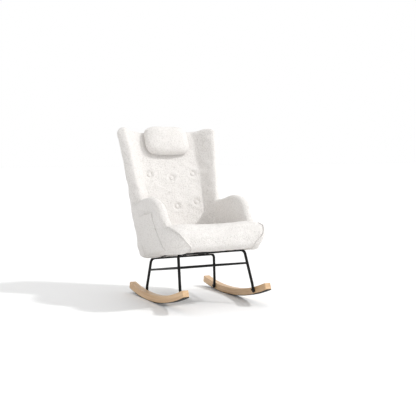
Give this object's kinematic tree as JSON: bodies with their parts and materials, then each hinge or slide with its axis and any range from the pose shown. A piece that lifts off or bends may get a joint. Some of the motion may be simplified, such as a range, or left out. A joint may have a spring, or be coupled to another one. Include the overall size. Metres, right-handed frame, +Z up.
{
  "type": "rocking chair",
  "caption": "Upholstered wing-back rocking chair with padded arms, curved wooden runners, a steel tube base and a headrest pillow that slides on a strap.",
  "frame": {"origin": "middle of the bounding box at floor level, under the seat", "axes": "+X across the chair, +Y towards the back of the chair, +Z up; the sitter faces -Y"},
  "size_m": [0.6822, 0.899, 1.0024],
  "materials": {
    "beech": "satin",
    "black_steel": "satin",
    "black_strip": "matte",
    "bolt_steel": "satin",
    "zinc_steel": "satin",
    "inner_timber": "matte",
    "black_cloth": "matte",
    "boucle": "matte",
    "strap_cloth": "matte"
  },
  "bodies": {
    "chair": {"arm_board_left": "inner_timber", "arm_board_right": "inner_timber", "arm_bolts": "zinc_steel", "arm_left": "boucle", "arm_right": "boucle", "back_bolts": "zinc_steel", "back_low_rail": "inner_timber", "back_pad": "boucle", "back_post_left": "inner_timber", "back_post_right": "inner_timber", "back_top_rail": "inner_timber", "back_webbing": "black_cloth", "dust_cover": "black_cloth", "foot_bolts": "bolt_steel", "foot_caps": "black_strip", "foot_inserts": "zinc_steel", "front_cross_rail": "black_steel", "front_hoop": "black_steel", "front_roll": "boucle", "grip_strip_left": "black_strip", "grip_strip_right": "black_strip", "headrest_strap": "strap_cloth", "rear_cross_rail": "black_steel", "rear_hoop": "black_steel", "rear_panel": "boucle", "rocker_left": "beech", "rocker_right": "beech", "seat_bolts": "bolt_steel", "seat_front_rail": "inner_timber", "seat_insert_nuts": "zinc_steel", "seat_pad": "boucle", "seat_rear_rail": "inner_timber", "seat_side_rail_left": "inner_timber", "seat_side_rail_right": "inner_timber", "seat_tabs": "black_steel", "seat_webbing": "black_cloth", "side_pocket_left": "boucle", "side_pocket_right": "boucle", "side_stretcher_left": "black_steel", "side_stretcher_right": "black_steel", "tufting_buttons": "boucle", "wing_left": "boucle", "wing_right": "boucle"},
    "headrest": {"headrest_pillow": "boucle"},
    "counterweight": {"counterweight_pouch": "boucle", "counterweight_bar": "zinc_steel"}
  },
  "joints": [
    {"name": "headrest_slide", "type": "slide", "parent": "chair", "child": "headrest", "axis": [0, 0.4027, 0.9153], "range_m": [-0.07, 0.03]},
    {"name": "counterweight_slide", "type": "slide", "parent": "chair", "child": "counterweight", "axis": [0, 0.2873, 0.9578], "range_m": [-0.03, 0.07]}
  ],
  "couplings": [
    {"joint": "counterweight_slide", "follows": "headrest_slide", "ratio": -1}
  ]
}
